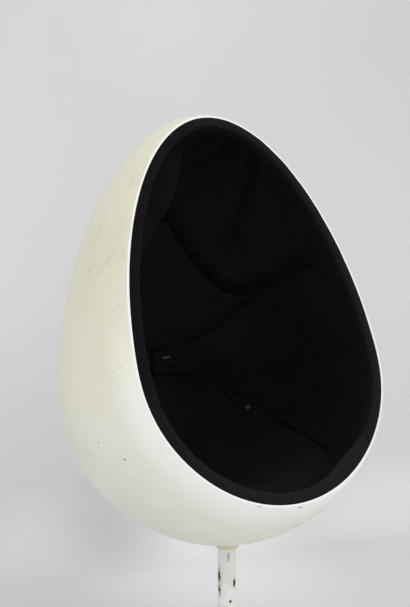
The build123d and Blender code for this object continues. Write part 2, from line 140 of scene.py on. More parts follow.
class Surface:
    """A node-based material in the coordinates of the row frame."""

    def __init__(self, name, **sockets):
        self.material = bpy.data.materials.new(name)
        self.material.use_nodes = True
        self.tree = self.material.node_tree
        self.shader = self.tree.nodes["Principled BSDF"]
        for socket, value in sockets.items():
            self.shader.inputs[socket.replace("_", " ")].default_value = value
        self.where = self.node("ShaderNodeTexCoord").outputs["Object"]
        self.normal = None

    def node(self, kind, **settings):
        made = self.tree.nodes.new(kind)
        for key, value in settings.items():
            setattr(made, key, value)
        return made

    def put(self, socket, value):
        if isinstance(value, bpy.types.NodeSocket):
            self.tree.links.new(value, socket)
        elif isinstance(value, tuple) and len(value) == 3 and socket.type == "RGBA":
            socket.default_value = (*value, 1.0)
        else:
            socket.default_value = value

    def math(self, operation, a, b=0.0):
        made = self.node("ShaderNodeMath", operation=operation)
        self.put(made.inputs[0], a)
        self.put(made.inputs[1], b)
        return made.outputs[0]

    def times(self, a, b):
        return self.math("MULTIPLY", a, b)

    def vector(self, operation, a, b):
        made = self.node("ShaderNodeVectorMath", operation=operation)
        self.put(made.inputs[0], a)
        self.put(made.inputs[1], b)
        one_number = operation in ("DOT_PRODUCT", "DISTANCE", "LENGTH")
        return made.outputs["Value" if one_number else "Vector"]

    def noise(self, scale, detail=3.0, roughness=0.55, stretch=EVEN, shift=0.0):
        place = self.vector("MULTIPLY", self.where, stretch)
        place = self.vector("ADD", place, (shift, shift * 0.7, -shift * 0.4))
        made = self.node("ShaderNodeTexNoise")
        self.put(made.inputs["Vector"], place)
        made.inputs["Scale"].default_value = scale
        made.inputs["Detail"].default_value = detail
        made.inputs["Roughness"].default_value = roughness
        return made.outputs["Fac"]

    def cells(self, scale, shift=0.0):
        place = self.vector("ADD", self.where, (shift, -shift, shift * 0.5))
        made = self.node("ShaderNodeTexVoronoi")
        self.put(made.inputs["Vector"], place)
        made.inputs["Scale"].default_value = scale
        return made.outputs["Distance"]

    def step(self, value, low, high, out_low=0.0, out_high=1.0):
        """Smooth change from out_low to out_high as value goes from low to high."""
        made = self.node("ShaderNodeMapRange", interpolation_type="SMOOTHSTEP")
        for socket, item in zip(("Value", "From Min", "From Max", "To Min", "To Max"),
                                (value, low, high, out_low, out_high)):
            self.put(made.inputs[socket], item)
        return made.outputs[0]

    def mix(self, share, a, b):
        made = self.node("ShaderNodeMix", data_type="RGBA")
        self.put(made.inputs[0], share)
        self.put(made.inputs[6], a)
        self.put(made.inputs[7], b)
        return made.outputs[2]

    def part(self, name):
        """X, Y or Z of the place on the object."""
        split = self.node("ShaderNodeSeparateXYZ")
        self.put(split.inputs[0], self.where)
        return split.outputs[name]

    def reach(self):
        """How far the place lies out of the egg's centre, towards the opening."""
        from_centre = self.vector("SUBTRACT", self.where, tuple(EGG_CENTRE))
        return self.vector("DOT_PRODUCT", from_centre, tuple(OUTWARD))

    def from_axis(self):
        """How far the place lies from the post's axis."""
        level = self.vector("MULTIPLY", self.where, (1.0, 1.0, 0.0))
        return self.vector("LENGTH", level, (0.0, 0.0, 0.0))

    def wander(self, size, *noise):
        """Noise about zero, size from its lowest to its highest."""
        return self.times(self.math("SUBTRACT", self.noise(*noise), 0.5), size)

    def spot(self, point, radius, ragged, grain, stretch=EVEN):
        """1 on a ragged patch round a point, 0 elsewhere."""
        away = self.vector("SUBTRACT", self.where, tuple(point))
        away = self.vector("MULTIPLY", away, stretch)
        distance = self.vector("LENGTH", away, (0.0, 0.0, 0.0))
        edge = self.math("ADD", distance, self.wander(radius * ragged * 4, grain, 4.0, 0.6))
        return self.step(edge, radius * 0.8, radius * 1.1, 1.0, 0.0)

    def spots(self, rows):
        return self.most(*(self.spot(*row) for row in rows))

    def most(self, *masks):
        total = masks[0]
        for mask in masks[1:]:
            total = self.math("MAXIMUM", total, mask)
        return total

    def colour(self, value):
        self.put(self.shader.inputs["Base Color"], value)

    def rough(self, value):
        self.put(self.shader.inputs["Roughness"], value)

    def bump(self, height, distance, strength=1.0):
        made = self.node("ShaderNodeBump")
        made.inputs["Strength"].default_value = strength
        made.inputs["Distance"].default_value = distance
        self.put(made.inputs["Height"], height)
        if self.normal is not None:
            self.put(made.inputs["Normal"], self.normal)
        self.normal = made.outputs[0]
        self.put(self.shader.inputs["Normal"], self.normal)


# ------------------------ materials
# A row of spots is a place, a radius, raggedness, grain, and a squeeze along each axis.
SMUDGES = (((-0.337, 0.035, 1.138), 0.085, 0.9, 14.0), ((-0.369, -0.084, 0.972), 0.040, 0.9, 14.0),
           ((-0.379, -0.141, 0.842), 0.030, 0.9, 14.0), ((-0.243, 0.026, 1.3), 0.035, 0.9, 14.0))
POCKS = (((-0.371, -0.135, 0.648), 0.0028, 0.5, 200.0),
         ((-0.403, -0.067, 0.677), 0.0022, 0.5, 200.0),
         ((0.002, -0.308, 0.518), 0.0035, 0.8, 160.0, (0.6, 1.0, 2.0)),
         ((0.051, -0.227, 0.439), 0.0045, 0.8, 160.0, (0.5, 1.0, 2.5)),
         ((-0.116, -0.303, 0.540), 0.003, 0.8, 160.0, (0.6, 1.0, 2.0)),
         ((-0.183, -0.238, 0.501), 0.004, 0.5, 160.0, (6.0, 6.0, 1.0)))
CHIPS = (((-0.0238, 0.0020, 0.251), 0.0070, 0.6, 150.0, (1.0, 1.0, 0.42)),
         ((0.0092, -0.0224, 0.233), 0.0056, 0.6, 150.0, (1.0, 1.0, 0.50)),
         ((-0.0240, 0.0000, 0.215), 0.0046, 0.9, 200.0, (1.0, 1.0, 0.45)),
         ((-0.004, -0.024, 0.185), 0.0040, 0.9, 200.0),
         ((0.010, 0.022, 0.281), 0.0060, 0.8, 150.0, (1.0, 1.0, 0.5)),
         ((-0.020, 0.014, 0.166), 0.0070, 0.8, 150.0, (1.0, 1.0, 0.6)),
         ((0.022, 0.010, 0.151), 0.0055, 0.8, 150.0))
RUST_HALOS = (((-0.0238, 0.0020, 0.240), 0.0110, 0.9, 150.0, (1.0, 1.0, 0.30)),
              ((0.0092, -0.0224, 0.233), 0.0078, 0.6, 150.0, (1.0, 1.0, 0.48)),
              ((-0.0240, 0.0000, 0.213), 0.0080, 0.9, 200.0, (1.0, 1.0, 0.4)))
DRIP = ((-0.010, -0.022, 0.306), 0.004, 0.3, 120.0, (1.0, 1.0, 0.28))

LIP_HIGHLIGHT = (0.13, 0.226)      # reaches between which the gelcoat turns whiter: a painted highlight
LIP_EDGE = (0.2258, 0.2266)        # and where the shell's cut edge begins
CLOTH_LIP_LIGHT = (0.125, 0.225)     # reaches between which the cloth turns to its lighter tone near the lip: painted light
PLATE_RIM = (0.2855, 0.2900)       # distances from the axis where the base plate's rim is chipped


def gelcoat():
    """Aged cream gelcoat: yellowed upwards, smudged and pocked, with a painted highlight towards the
    lip.
    """
    s = Surface("gelcoat_aged", Specular_IOR_Level=0.45, Coat_Weight=0.25, Coat_Roughness=0.12)
    cream = tones(fresh=(236, 236, 224), aged=(223, 218, 194), clouded=(222, 214, 186),
                  bleached=(251, 251, 246), cut_edge=(231, 231, 226), smudge=(158, 150, 128),
                  film=(192, 185, 160), grime=(196, 184, 138), pock=(84, 76, 56))
    height = s.part("Z")
    ageing = s.step(s.math("ADD", height, s.wander(0.5, 3.0, 4.0)), 0.42, 1.05)
    colour = s.mix(ageing, cream["fresh"], cream["aged"])
    cloud = s.step(s.noise(6.0, 4.0, 0.55), 0.35, 0.75, 0.0, 0.30)
    colour = s.mix(cloud, colour, cream["clouded"])
    reach = s.reach()
    # Painted highlight: the gelcoat turns whiter towards the lip, most of all low down.
    lip_highlight = s.times(s.step(reach, *LIP_HIGHLIGHT), s.step(height, 0.55, 1.15, 0.92, 0.0))
    colour = s.mix(lip_highlight, colour, cream["bleached"])
    colour = s.mix(s.step(reach, *LIP_EDGE), colour, cream["cut_edge"])
    smudged = s.spots(SMUDGES)
    streaks = s.step(s.noise(30.0, 8.0, 0.78, (1.0, 1.0, 0.7), 3.0), 0.42, 0.74)
    smudge = s.times(s.times(smudged, streaks), 0.32)
    colour = s.mix(smudge, colour, cream["smudge"])
    film = s.step(s.noise(11.0, 5.0, 0.6, (1.0, 1.0, 0.7), 9.0), 0.50, 0.85, 0.0, 0.14)
    colour = s.mix(film, colour, cream["film"])
    from_axis = s.from_axis()
    grime = s.times(s.step(from_axis, 0.035, 0.24, 1.0, 0.0), s.step(height, 0.33, 0.44, 1.0, 0.0))
    grime = s.times(grime, s.step(s.noise(12.0, 5.0), 0.3, 0.7, 0.35, 0.8))
    colour = s.mix(grime, colour, cream["grime"])
    pocks = s.spots(POCKS)
    colour = s.mix(s.times(pocks, 0.80), colour, cream["pock"])
    s.colour(colour)
    gloss = s.step(s.noise(9.0, 3.0, 0.5), 0.3, 0.75, 0.30, 0.40)
    s.rough(s.math("ADD", gloss, s.times(smudge, 0.5)))
    s.bump(s.noise(5.0, 1.0, 0.4), 0.003, 0.10)
    s.bump(s.noise(150.0, 2.0), 0.0001, 0.06)
    s.bump(s.times(pocks, -1.0), 0.0008, 0.5)
    return s.material


def cloth(name, dark, light, at_rim, weave=900.0, lint=0.35, lower_light=None, shaded_hollows=()):
    """Black woven cloth with pills and lint, lighter near the lip: painted light.

    It takes another tone low down, if one is given, which is painted light where the cover faces up,
    and painted shade darkens it round the given hollow points.
    """
    s = Surface(name, Specular_IOR_Level=0.04, Sheen_Weight=0.02, Sheen_Roughness=0.45)
    s.shader.inputs["Sheen Tint"].default_value = (0.75, 0.75, 0.80, 1.0)
    split = s.node("ShaderNodeSeparateXYZ")
    s.put(split.inputs[0], s.vector("MULTIPLY", s.where, (weave, weave, weave)))
    waves = [s.math("SINE", split.outputs[axis]) for axis in "XYZ"]
    facing = s.node("ShaderNodeSeparateXYZ")
    s.put(facing.inputs[0], s.node("ShaderNodeNewGeometry").outputs["Normal"])
    weave_height = None
    for axis, (a, b) in enumerate(((1, 2), (0, 2), (0, 1))):
        share = s.math("POWER", s.math("ABSOLUTE", facing.outputs[axis]), 3.0)
        threads = s.times(s.times(waves[a], waves[b]), share)
        weave_height = threads if weave_height is None else s.math("ADD", weave_height, threads)
    fading = s.step(s.noise(4.5, 5.0, 0.6), 0.32, 0.72)
    colour = s.mix(fading, linear(*dark), linear(*light))
    # Painted light: the cloth turns lighter towards the lip, where light falls in at the opening.
    colour = s.mix(s.step(s.reach(), *CLOTH_LIP_LIGHT), colour, linear(*at_rim))
    # Painted light: lighter low down, where the cover faces up.
    if lower_light:
        low = s.math("ADD", s.part("Z"), s.wander(0.15, 6.0, 3.0))
        colour = s.mix(s.step(low, 0.58, 0.86, 1.0, 0.0), colour, linear(*lower_light))
    # Painted shade: darker round each hollow point.
    for point in shaded_hollows:
        near = s.step(s.vector("DISTANCE", s.where, tuple(point)), 0.015, 0.085, 0.75, 0.0)
        colour = s.mix(near, colour, linear(11, 11, 11))
    pills = s.step(s.noise(260.0, 3.0, 0.6), 0.45, 0.75)
    colour = s.mix(s.times(pills, 0.5), colour, linear(*(c * 1.45 for c in light)))
    fluff = s.times(s.step(s.cells(95.0, 2.0), 0.05, 0.09, 1.0, 0.0),
                    s.step(s.noise(11.0, 3.0, 0.6, shift=6.0), 0.56, 0.66))
    colour = s.mix(s.times(fluff, lint), colour, linear(120, 118, 112))
    s.colour(colour)
    s.rough(s.step(s.noise(18.0, 4.0), 0.3, 0.7, 0.82, 0.97))
    s.bump(weave_height, 0.00035, 0.7)
    s.bump(pills, 0.0006, 0.6)
    s.bump(s.noise(30.0, 4.0, 0.6, shift=1.0), 0.004, 0.35)
    return s.material


def white_paint():
    """Old white enamel on steel, chipped to black primer and rust."""
    s = Surface("enamel_chipped", Specular_IOR_Level=0.5)
    enamel = tones(fresh=(236, 236, 232), dull=(222, 221, 213), stain=(176, 168, 148),
                   drip=(132, 124, 104), halo=(176, 150, 112), dust=(150, 143, 122))
    bare = tones(primer=(30, 28, 27), dark_rust=(44, 38, 34), rust=(118, 74, 42))
    colour = s.mix(s.step(s.noise(14.0, 4.0), 0.3, 0.75), enamel["fresh"], enamel["dull"])
    stain = s.step(s.noise(60.0, 5.0, 0.7, (1.0, 1.0, 0.25), 5.0), 0.58, 0.75, 0.0, 0.35)
    colour = s.mix(stain, colour, enamel["stain"])
    height = s.part("Z")
    colour = s.mix(s.times(s.spot(*DRIP), 0.55), colour, enamel["drip"])
    chips = s.spots(CHIPS)
    random_chips = s.times(s.step(s.cells(85.0, 1.0), 0.10, 0.16, 1.0, 0.0),
                           s.step(s.noise(24.0, 4.0, 0.65, shift=7.0), 0.63, 0.69))
    # Paint rubbed off round the base plate's rim.
    at_rim = s.times(s.step(s.from_axis(), *PLATE_RIM),
                     s.step(s.noise(45.0, 5.0, 0.7), 0.50, 0.60))
    chips = s.most(chips, random_chips, at_rim)
    halo = s.spots(RUST_HALOS)
    rust = s.mix(s.step(s.noise(220.0, 4.0), 0.35, 0.65), bare["dark_rust"], bare["rust"])
    colour = s.mix(s.times(halo, 0.45), colour, enamel["halo"])
    bared = s.mix(s.step(s.noise(90.0, 3.0, shift=2.0), 0.45, 0.6), bare["primer"], rust)
    colour = s.mix(chips, colour, bared)
    foot = s.times(s.step(height, 0.012, 0.040, 1.0, 0.0),
                   s.step(s.noise(33.0, 5.0, 0.7), 0.42, 0.75))
    colour = s.mix(s.times(foot, 0.5), colour, enamel["dust"])
    s.colour(colour)
    gloss = s.step(s.noise(40.0, 4.0), 0.3, 0.7, 0.30, 0.44)
    s.rough(s.math("ADD", gloss, s.times(chips, 0.4)))
    s.bump(s.noise(28.0, 3.0), 0.0010, 0.35)
    s.bump(s.times(chips, -1.0), 0.0006, 1.0)
    return s.material


def metal(name, colour, roughness, brushed=(1.0, 1.0, 14.0)):
    s = Surface(name, Metallic=1.0)
    tone = s.noise(90.0, 4.0, 0.6, brushed)
    s.colour(s.mix(s.step(tone, 0.3, 0.7), linear(*colour), linear(*(c * 0.82 for c in colour))))
    s.rough(s.step(tone, 0.25, 0.75, roughness, roughness + 0.18))
    s.bump(s.noise(260.0, 3.0, 0.6, brushed), 0.0002, 0.4)
    return s.material


def grained(name, dark, light, scale, stretch, roughness, bump_depth):
    """Wood, resin, rubber, fibre, foam and wadding: two tones along a stretched grain."""
    s = Surface(name, Specular_IOR_Level=0.35)
    grain = s.noise(scale, 6.0, 0.65, stretch)
    s.colour(s.mix(s.step(grain, 0.32, 0.68), linear(*dark), linear(*light)))
    patches = s.noise(scale * 0.4, 3.0, shift=3.0)
    s.rough(s.step(patches, 0.3, 0.7, roughness - 0.08, roughness + 0.06))
    s.bump(grain, bump_depth, 0.6)
    return s.material


LOOKS = {
    "gelcoat": gelcoat(),
    "white_paint": white_paint(),
    "steel": metal("turned_steel", (158, 158, 160), 0.30),
    "zinc": metal("zinc_plate", (186, 186, 178), 0.30, EVEN),
    "nylon": grained("nylon", (206, 202, 186), (222, 219, 206), 40.0, (1.0, 1.0, 6.0), 0.42, 0.0002),
    "rubber": grained("rubber", (24, 24, 25), (40, 40, 41), 180.0, EVEN, 0.80, 0.0005),
    "resin": grained("resin_and_glass", (128, 104, 62), (178, 156, 104),
                     60.0, (1.0, 4.0, 1.0), 0.38, 0.0008),
    "plywood": grained("birch_plywood", (166, 126, 82), (204, 168, 122),
                       26.0, (1.0, 12.0, 30.0), 0.62, 0.0005),
    "tack_strip": grained("pressed_fibre", (74, 66, 54), (108, 97, 80), 150.0, EVEN, 0.85, 0.0006),
    "foam": grained("polyurethane_foam", (176, 160, 104), (208, 194, 140), 320.0, EVEN, 0.90, 0.0012),
}
# The fold along the edge of the upper lining, from the middle of the back to the right.
CREVICE = [(0.000, 0.366, 1.210), (0.054, 0.376, 1.137), (0.101, 0.379, 1.077), (0.149, 0.370, 1.019),
           (0.179, 0.360, 0.979), (0.215, 0.335, 0.958), (0.251, 0.305, 0.961), (0.292, 0.248, 0.988),
           (0.326, 0.112, 1.053)]
CLOTH = cloth("black_cloth", (19, 19, 19), (25, 25, 26), (24, 24, 24))
# A lighter copy of the black cloth for the upper lining, lifting the deep shade there: painted light.
# Round the crevice it gets painted shade.
UPPER_CLOTH = cloth("upper_cloth", (23, 23, 23), (29, 29, 30), (38, 38, 38),
                    shaded_hollows=CREVICE + [(-x, y, z) for x, y, z in CREVICE[1:]])
# A darker copy of the black cloth for the wing flap, which faces away from the light: painted shade.
SHADED_WING_CLOTH = cloth("wing_cloth_shaded", (7, 7, 7), (9, 9, 10), (9, 9, 9))
# The rim roll's cloth is lighter low down, where it faces up: painted light.
BAND_CLOTH = cloth("band_cloth", (15, 15, 15), (20, 20, 20), (17, 17, 17), 800.0, 0.5,
                   lower_light=(28, 28, 27))
TORN = grained("torn_wadding", (52, 52, 50), (104, 104, 100), 500.0, EVEN, 0.92, 0.0010)

for entry in frame["record"]["subparts"]:
    if entry["material_slot"] in LOOKS:
        data = nodes[entry["node"]].data
        data.materials.clear()
        data.materials.append(LOOKS[entry["material_slot"]])


# ------------------------ soft goods: mesh tools
FULL_VOXEL = 0.005
VOXEL = FULL_VOXEL
SMOOTHING_STEP = 0.6
covers = {}


def vectors_of(items, attribute):
    out = np.empty(len(items) * 3)
    items.foreach_get(attribute, out)
    return out.reshape(-1, 3)


def set_coordinates(mesh, points):
    mesh.vertices.foreach_set("co", points.ravel())
    mesh.update()


def edge_ends(mesh):
    out = np.empty(len(mesh.edges) * 2, np.int64)
    mesh.edges.foreach_get("vertices", out)
    return out.reshape(-1, 2)


def smoothed(points, edges, rounds, weight):
    """Laplacian smoothing, scaled at each point by weight."""
    a, b = edges[:, 0], edges[:, 1]
    count = len(points)
    degree = np.bincount(a, minlength=count) + np.bincount(b, minlength=count)
    for _ in range(rounds):
        total = np.empty_like(points)
        for axis in range(3):
            total[:, axis] = (np.bincount(a, points[b, axis], count)
                              + np.bincount(b, points[a, axis], count))
        points = points + SMOOTHING_STEP * weight[:, None] * (total / degree[:, None] - points)
    return points


def ripple(points, length, seed):
    """Smooth pseudo-random field of about -1 to 1 with features of the given length."""
    random = np.random.default_rng(seed)
    value = np.zeros(len(points))
    for _ in range(9):
        direction = random.normal(size=3)
        direction *= random.uniform(0.6, 1.5) / np.linalg.norm(direction)
        value += np.sin(points @ direction * 2 * math.pi / length + random.uniform(0, 2 * math.pi))
    return value / 4.5


def curve_through(points, spacing=0.004):
    """Catmull-Rom curve through given points, as a dense polyline."""
    p = np.array(points, float)
    p = np.vstack([2 * p[0] - p[1], p, 2 * p[-1] - p[-2]])
    out = []
    for i in range(1, len(p) - 2):
        steps = max(2, int(np.linalg.norm(p[i + 1] - p[i]) / spacing))
        for t in np.arange(steps) / steps:
            out.append(0.5 * (2 * p[i] + (p[i + 1] - p[i - 1]) * t
                              + (2 * p[i - 1] - 5 * p[i] + 4 * p[i + 1] - p[i + 2]) * t ** 2
                              + (3 * p[i] - p[i - 1] - 3 * p[i + 1] + p[i + 2]) * t ** 3))
    return np.vstack([out, p[-2]])


def near_curve(points, curve, reach):
    """Points within reach of a curve: index, distance and length along it, and its whole length."""
    inside = ((points > curve.min(0) - reach) & (points < curve.max(0) + reach)).all(1)
    index = np.nonzero(inside)[0]
    along = np.concatenate([[0], np.cumsum(np.linalg.norm(np.diff(curve, axis=0), axis=1))])
    best = np.full(len(index), np.inf)
    length = np.zeros(len(index))
    for start, end, at in zip(curve[:-1], curve[1:], along[:-1]):
        span = end - start
        size = span @ span
        share = np.clip((points[index] - start) @ span / size, 0, 1)
        distance = np.linalg.norm(points[index] - start - share[:, None] * span, axis=1)
        closer = distance < best
        best = np.where(closer, distance, best)
        length = np.where(closer, at + share * math.sqrt(size), length)
    close = best < reach
    return index[close], best[close], length[close], along[-1]


def groove(points, normals, weight, place, width, depth, shoulders=0.45):
    """A crease along a curve, with a soft shoulder on each side; a negative depth makes a ridge."""
    curve = curve_through(place)
    index, distance, length, total = near_curve(points, curve, 4 * width)
    fade = np.clip(np.minimum(length, total - length) / (3 * width), 0, 1)
    if total > 6 * width:
        fade = fade * fade * (3 - 2 * fade)
    else:
        fade = np.sin(np.pi * np.clip(length / total, 0, 1))
    bulge = shoulders * np.exp(-((distance - 2 * width) / width) ** 2)
    sink = np.exp(-(distance / width) ** 2) - bulge
    points[index] -= normals[index] * (depth * fade * sink * weight[index])[:, None]


def puckers(points, normals, weight, place, reach, height, spacing, seed):
    """Short gathers that run away from a seam on both sides."""
    curve = curve_through(place)
    index, distance, length, total = near_curve(points, curve, 2.5 * reach)
    random = np.random.default_rng(seed)
    phase = 2 * math.pi * length / spacing
    for turns, size in ((1.7, 0.9), (3.1, 0.7), (5.3, 0.5)):
        phase = phase + size * np.sin(2 * math.pi * turns * length / total + random.uniform(0, 6))
    ends = np.clip(np.minimum(length, total - length) / spacing, 0, 1)
    ends = ends * (0.55 + 0.45 * np.sin(2 * math.pi * 2.3 * length / total + random.uniform(0, 6)))
    share = np.exp(-(distance / reach) ** 2) * (1 - np.exp(-(distance / (0.25 * reach)) ** 2))
    points[index] += normals[index] * (height * np.sin(phase) * share * ends * weight[index])[:, None]


def tree_of(meshes):
    vertices, faces = [], []
    for mesh in meshes:
        base = len(vertices)
        vertices += [v.co.copy() for v in mesh.vertices]
        faces += [[base + i for i in face.vertices] for face in mesh.polygons]
    return BVHTree.FromPolygons(vertices, faces)


def distances_to(names, points):
    """Distance of each point to the nearest of the named CAD solids."""
    tree = tree_of([nodes[name].data for name in names])
    return np.array([tree.find_nearest(Vector(p))[3] for p in points])


def soft_steps(value, low, high):
    """Smooth change from 0 to 1 as value goes from low to high."""
    share = np.clip((value - low) / (high - low), 0, 1)
    return share * share * (3 - 2 * share)


def away_from_middle(points, around, per):
    """Unit vectors from the middle of each loop of points."""
    middle = np.repeat(points.reshape(around, per, 3).mean(1), per, axis=0)
    return (points - middle) / np.linalg.norm(points - middle, axis=1)[:, None]


def loop_mesh(name, points, around, per, closed=False):
    """Mesh through loops of points, either closed to a ring or with a cap at each end."""
    faces = []
    for i in range(around if closed else around - 1):
        for j in range(per):
            a, b = i * per + j, i * per + (j + 1) % per
            c, d = (i + 1) % around * per + (j + 1) % per, (i + 1) % around * per + j
            faces.append((a, b, c, d))
    if not closed:
        faces.append(tuple(range(per - 1, -1, -1)))
        faces.append(tuple(range((around - 1) * per, around * per)))
    mesh = bpy.data.meshes.new(name)
    mesh.from_pydata(points.tolist(), [], faces)
    return mesh


def placed(name, data):
    thing = bpy.data.objects.new(name, data)
    scene.collection.objects.link(thing)
    return thing


def add_piece(name, mesh, material, body="pod", subdivide=1):
    piece = placed(name, mesh)
    mesh.materials.clear()
    mesh.materials.append(material)
    mesh.polygons.foreach_set("use_smooth", [True] * len(mesh.polygons))
    if subdivide:
        modifier = piece.modifiers.new("Subdivision", "SUBSURF")
        modifier.levels = modifier.render_levels = subdivide
    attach(piece, body)
    return piece


def mirrored(features):
    """The same folds or gathers on the other side."""
    return [([(-x, y, z) for x, y, z in place], *rest) for place, *rest in features]


SEAM_EDGE = 0.003            # within this of a seam the cover is held
LUMP_LENGTH = 0.11
SMALL_LUMP_LENGTH = 0.035
SMALL_LUMP_SHARE = 0.35
LAST_SMOOTHING = 0.6


def upholster(node, neighbours, crown, crown_width, rounds, lumps, fill, seed, creases=(),
              gathers=(), back=(0.012, 0.026), reshape=None, snug=(0.25, 0.020), sewn_to=None,
              material=CLOTH):
    """A stuffed piece shaped from its CAD solid: rounded and crowned on the side that shows.

    back holds the depths from the shell between which the shaping sets in. snug holds the share
    of smoothing left at a seam, and the distance from the seam where all of it is back.
    """
    work = placed(node + "_work", nodes[node].data.copy())
    remesh = work.modifiers.new("Remesh", "REMESH")
    remesh.mode = "VOXEL"
    remesh.voxel_size = VOXEL
    mesh = bpy.data.meshes.new_from_object(work.evaluated_get(bpy.context.evaluated_depsgraph_get()))
    bpy.data.objects.remove(work)
    points = vectors_of(mesh.vertices, "co")
    edges = edge_ends(mesh)
    rounds = max(2, int(rounds * (FULL_VOXEL / VOXEL) ** 2))
    showing = soft_steps(inset_of(points) - BAND_INSET, *back)
    if reshape:
        points = reshape(points)
    away = distances_to(neighbours, points)
    from_seam = distances_to(sewn_to, points) if sewn_to else away
    sewn, free = snug
    loose = sewn + (1 - sewn) * soft_steps(from_seam, SEAM_EDGE, free)
    points = smoothed(points, edges, rounds, showing * loose)
    set_coordinates(mesh, points)
    normals = vectors_of(mesh.vertex_normals, "vector")
    swell = crown * (1 - np.exp(-(away / crown_width) ** 2)) * showing
    points = points + normals * swell[:, None]
    points += normals * (lumps * ripple(points, LUMP_LENGTH, seed) * showing)[:, None]
    small_lumps = SMALL_LUMP_SHARE * lumps * ripple(points, SMALL_LUMP_LENGTH, seed + 50) * showing
    points += normals * small_lumps[:, None]
    for place, *size in creases:
        groove(points, normals, showing, place, *size)
    for place, *size in gathers:
        puckers(points, normals, showing, place, *size, seed)
    points = smoothed(points, edges, 1, showing * LAST_SMOOTHING)
    set_coordinates(mesh, points)
    piece = add_piece(node + "_cover", mesh, material)
    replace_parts(piece, node)
    covers[node] = piece


# ------------------------ soft goods: the pieces
# Seams and folds of the right-hand side, placed from the photograph. A fold is its places, width,
# depth and the strength of its shoulders; a gather is its places, reach, height and spacing.
SEAT_SEAM = [(0.056, 0.393, 0.704), (0.133, 0.375, 0.701), (0.160, 0.360, 0.702),
             (0.201, 0.328, 0.672), (0.234, 0.273, 0.623), (0.251, 0.250, 0.619),
             (0.264, 0.206, 0.598), (0.275, 0.098, 0.568)]
BACK_SEAM = [(0.248, 0.301, 0.902), (0.190, 0.350, 0.852), (0.121, 0.384, 0.807),
             (0.060, 0.399, 0.781)]
BACK_SEAM_MIDDLE = (0.0, 0.408, 0.772)
CUSHION_SURFACE = 0.077      # inset of the back cushion's face
SETTLING = 0.018             # how far the back cushion sinks at its lower seam
SETTLING_REACH = 0.150


def thinned_to_front(most, start, end):
    """A reshape that thins a piece between two reaches, in the end by the share most."""
    def reshape(points):
        inset = inset_of(points)
        share = most * soft_steps(reach_of(points), start, end)
        return with_inset(points, BAND_INSET + (inset - BAND_INSET) * (1 - share), share > 0)
    return reshape


def settle_to_pads(points):
    """Thins the back cushion along its lower seam until it is nearly level with the side pads."""
    away = np.full(len(points), np.inf)
    seam = curve_through(BACK_SEAM + [BACK_SEAM_MIDDLE], 0.02)
    for sign in (1, -1):
        line = seam * np.array((sign, 1, 1))
        away = np.minimum(away, np.linalg.norm(points[:, None] - line[None], axis=2).min(1))
    inset = inset_of(points)
    share = (inset - BAND_INSET) / (CUSHION_SURFACE - BAND_INSET)
    lowered = inset - SETTLING * share * np.exp(-(away / SETTLING_REACH) ** 2)
    return with_inset(points, lowered, reach_of(points) > REAR_REACH)


seat_folds = [
    ([(0.165, 0.356, 0.696), (0.189, 0.336, 0.672), (0.211, 0.309, 0.647), (0.228, 0.280, 0.625),
      (0.243, 0.260, 0.621)], 0.0065, 0.006),
    ([(0.107, 0.361, 0.640), (0.122, 0.368, 0.671), (0.145, 0.365, 0.694), (0.171, 0.354, 0.699)],
     0.007, 0.0055),
    ([(0.069, 0.391, 0.703), (0.100, 0.385, 0.714), (0.145, 0.369, 0.718)], 0.0065, 0.005),
    ([(0.015, 0.392, 0.668), (0.035, 0.387, 0.668), (0.071, 0.383, 0.671)], 0.008, 0.006),
    ([(0.253, 0.227, 0.602), (0.257, 0.197, 0.586), (0.249, 0.165, 0.563), (0.253, 0.122, 0.554)],
     0.0065, 0.006),
    ([(0.263, 0.092, 0.556), (0.263, 0.036, 0.554), (0.236, -0.038, 0.545), (0.185, -0.163, 0.550)],
     0.0065, 0.0055),
    ([(0.178, 0.348, 0.693), (0.207, 0.326, 0.675), (0.225, 0.303, 0.656)], 0.0055, -0.0035),
]
# Folds round the two tears.
tear_folds = [
    ([(0.014, 0.403, 0.768), (0.027, 0.402, 0.757), (0.046, 0.399, 0.747), (0.065, 0.396, 0.743),
      (0.084, 0.392, 0.739)], 0.006, 0.006, 0.2),
    ([(0.077, 0.393, 0.733), (0.092, 0.388, 0.726), (0.110, 0.383, 0.728)], 0.005, -0.004, 0.2),
    ([(0.076, 0.390, 0.709), (0.091, 0.387, 0.711), (0.116, 0.380, 0.716), (0.133, 0.374, 0.718)],
     0.006, 0.0065),
    ([(0.066, 0.385, 0.677), (0.083, 0.385, 0.691), (0.102, 0.382, 0.698)], 0.006, 0.006),
    ([(0.114, 0.361, 0.645), (0.124, 0.365, 0.665), (0.141, 0.364, 0.682), (0.168, 0.355, 0.696)],
     0.006, 0.006),
    ([(0.024, 0.392, 0.683), (0.041, 0.390, 0.682), (0.061, 0.389, 0.689), (0.081, 0.388, 0.706)],
     0.011, 0.007, 0.3),
    ([(0.154, 0.350, 0.658), (0.178, 0.337, 0.658), (0.190, 0.322, 0.644), (0.207, 0.303, 0.633)],
     0.006, 0.004),
    ([(0.254, 0.254, 0.627), (0.279, 0.227, 0.620), (0.276, 0.192, 0.603), (0.277, 0.145, 0.582)],
     0.006, -0.004, 0.2),
]
seat_gathers = [(SEAT_SEAM, 0.040, 0.0042, 0.041)]
upholster("seat_cushion", ("side_pad_left", "side_pad_right", "rim_band"),
          crown=0.014, crown_width=0.07, rounds=9,
          creases=seat_folds + tear_folds + mirrored(seat_folds),
          gathers=seat_gathers + mirrored(seat_gathers), lumps=0.0026, fill=0.7, seed=3,
          reshape=thinned_to_front(0.52, 0.045, 0.160))

